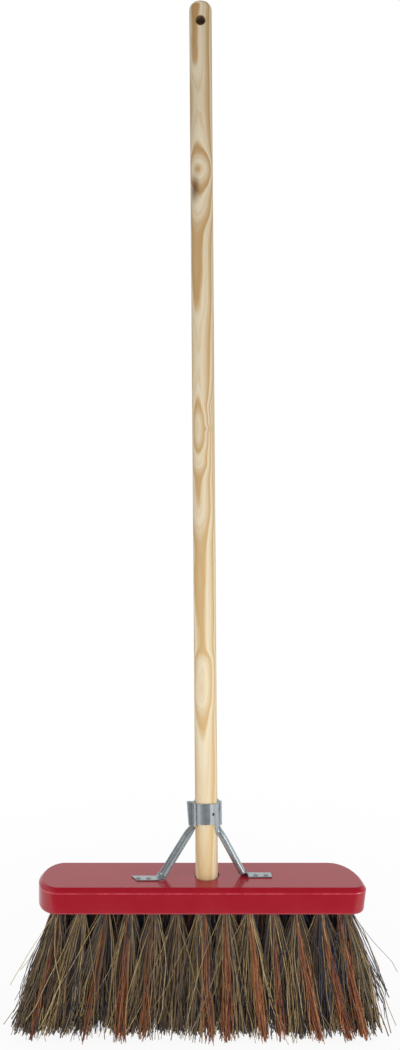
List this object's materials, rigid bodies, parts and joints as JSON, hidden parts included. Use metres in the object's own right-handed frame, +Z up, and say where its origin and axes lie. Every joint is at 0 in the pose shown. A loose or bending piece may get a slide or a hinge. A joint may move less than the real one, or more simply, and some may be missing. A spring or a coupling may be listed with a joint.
{
  "type": "yard broom",
  "caption": "Upright broom with a turned pole, a painted wooden head with rounded ends, a two-part pressed steel stay and rows of stiff flaring bristles.",
  "frame": {"origin": "centre of the bounding box at the level of the bristle tips, below the middle of the head", "axes": "+Z up along the handle, +X along the head to its worn end, -Y to the front"},
  "size_m": [0.47, 0.118, 1.261],
  "materials": {
    "red_painted_wood": "gloss",
    "planed_pine": "satin",
    "zinc_plated_steel": "satin",
    "bright_nail_steel": "satin",
    "fibre_tan": "matte",
    "fibre_olive": "matte",
    "fibre_dark": "matte",
    "fibre_rust": "matte"
  },
  "bodies": {
    "root": {"band_nail_back": "bright_nail_steel", "band_nail_front": "bright_nail_steel", "foot_nail_left_inner": "bright_nail_steel", "foot_nail_left_outer": "bright_nail_steel", "foot_nail_right_inner": "bright_nail_steel", "foot_nail_right_outer": "bright_nail_steel", "handle": "planed_pine", "stay_back_half": "zinc_plated_steel", "stay_front_half": "zinc_plated_steel", "stock": "red_painted_wood", "tuft_a01": "fibre_dark", "tuft_a02": "fibre_olive", "tuft_a03": "fibre_dark", "tuft_a04": "fibre_rust", "tuft_a05": "fibre_rust", "tuft_a06": "fibre_dark", "tuft_a07": "fibre_olive", "tuft_a08": "fibre_olive", "tuft_a09": "fibre_olive", "tuft_a10": "fibre_dark", "tuft_a11": "fibre_rust", "tuft_a12": "fibre_dark", "tuft_a13": "fibre_olive", "tuft_b01": "fibre_tan", "tuft_b02": "fibre_tan", "tuft_b03": "fibre_tan", "tuft_b04": "fibre_olive", "tuft_b05": "fibre_rust", "tuft_b06": "fibre_rust", "tuft_b07": "fibre_rust", "tuft_b08": "fibre_tan", "tuft_b09": "fibre_olive", "tuft_b10": "fibre_tan", "tuft_b11": "fibre_dark", "tuft_b12": "fibre_olive", "tuft_c01": "fibre_olive", "tuft_c02": "fibre_dark", "tuft_c03": "fibre_tan", "tuft_c04": "fibre_dark", "tuft_c05": "fibre_dark", "tuft_c06": "fibre_dark", "tuft_c07": "fibre_tan", "tuft_c08": "fibre_olive", "tuft_c09": "fibre_tan", "tuft_c10": "fibre_olive", "tuft_c11": "fibre_tan", "tuft_c12": "fibre_tan", "tuft_c13": "fibre_tan", "tuft_d01": "fibre_rust", "tuft_d02": "fibre_rust", "tuft_d03": "fibre_olive", "tuft_d04": "fibre_dark", "tuft_d05": "fibre_rust", "tuft_d06": "fibre_olive", "tuft_d07": "fibre_tan", "tuft_d08": "fibre_tan", "tuft_d09": "fibre_olive", "tuft_d10": "fibre_olive", "tuft_d11": "fibre_tan", "tuft_d12": "fibre_rust"}
  },
  "joints": []
}
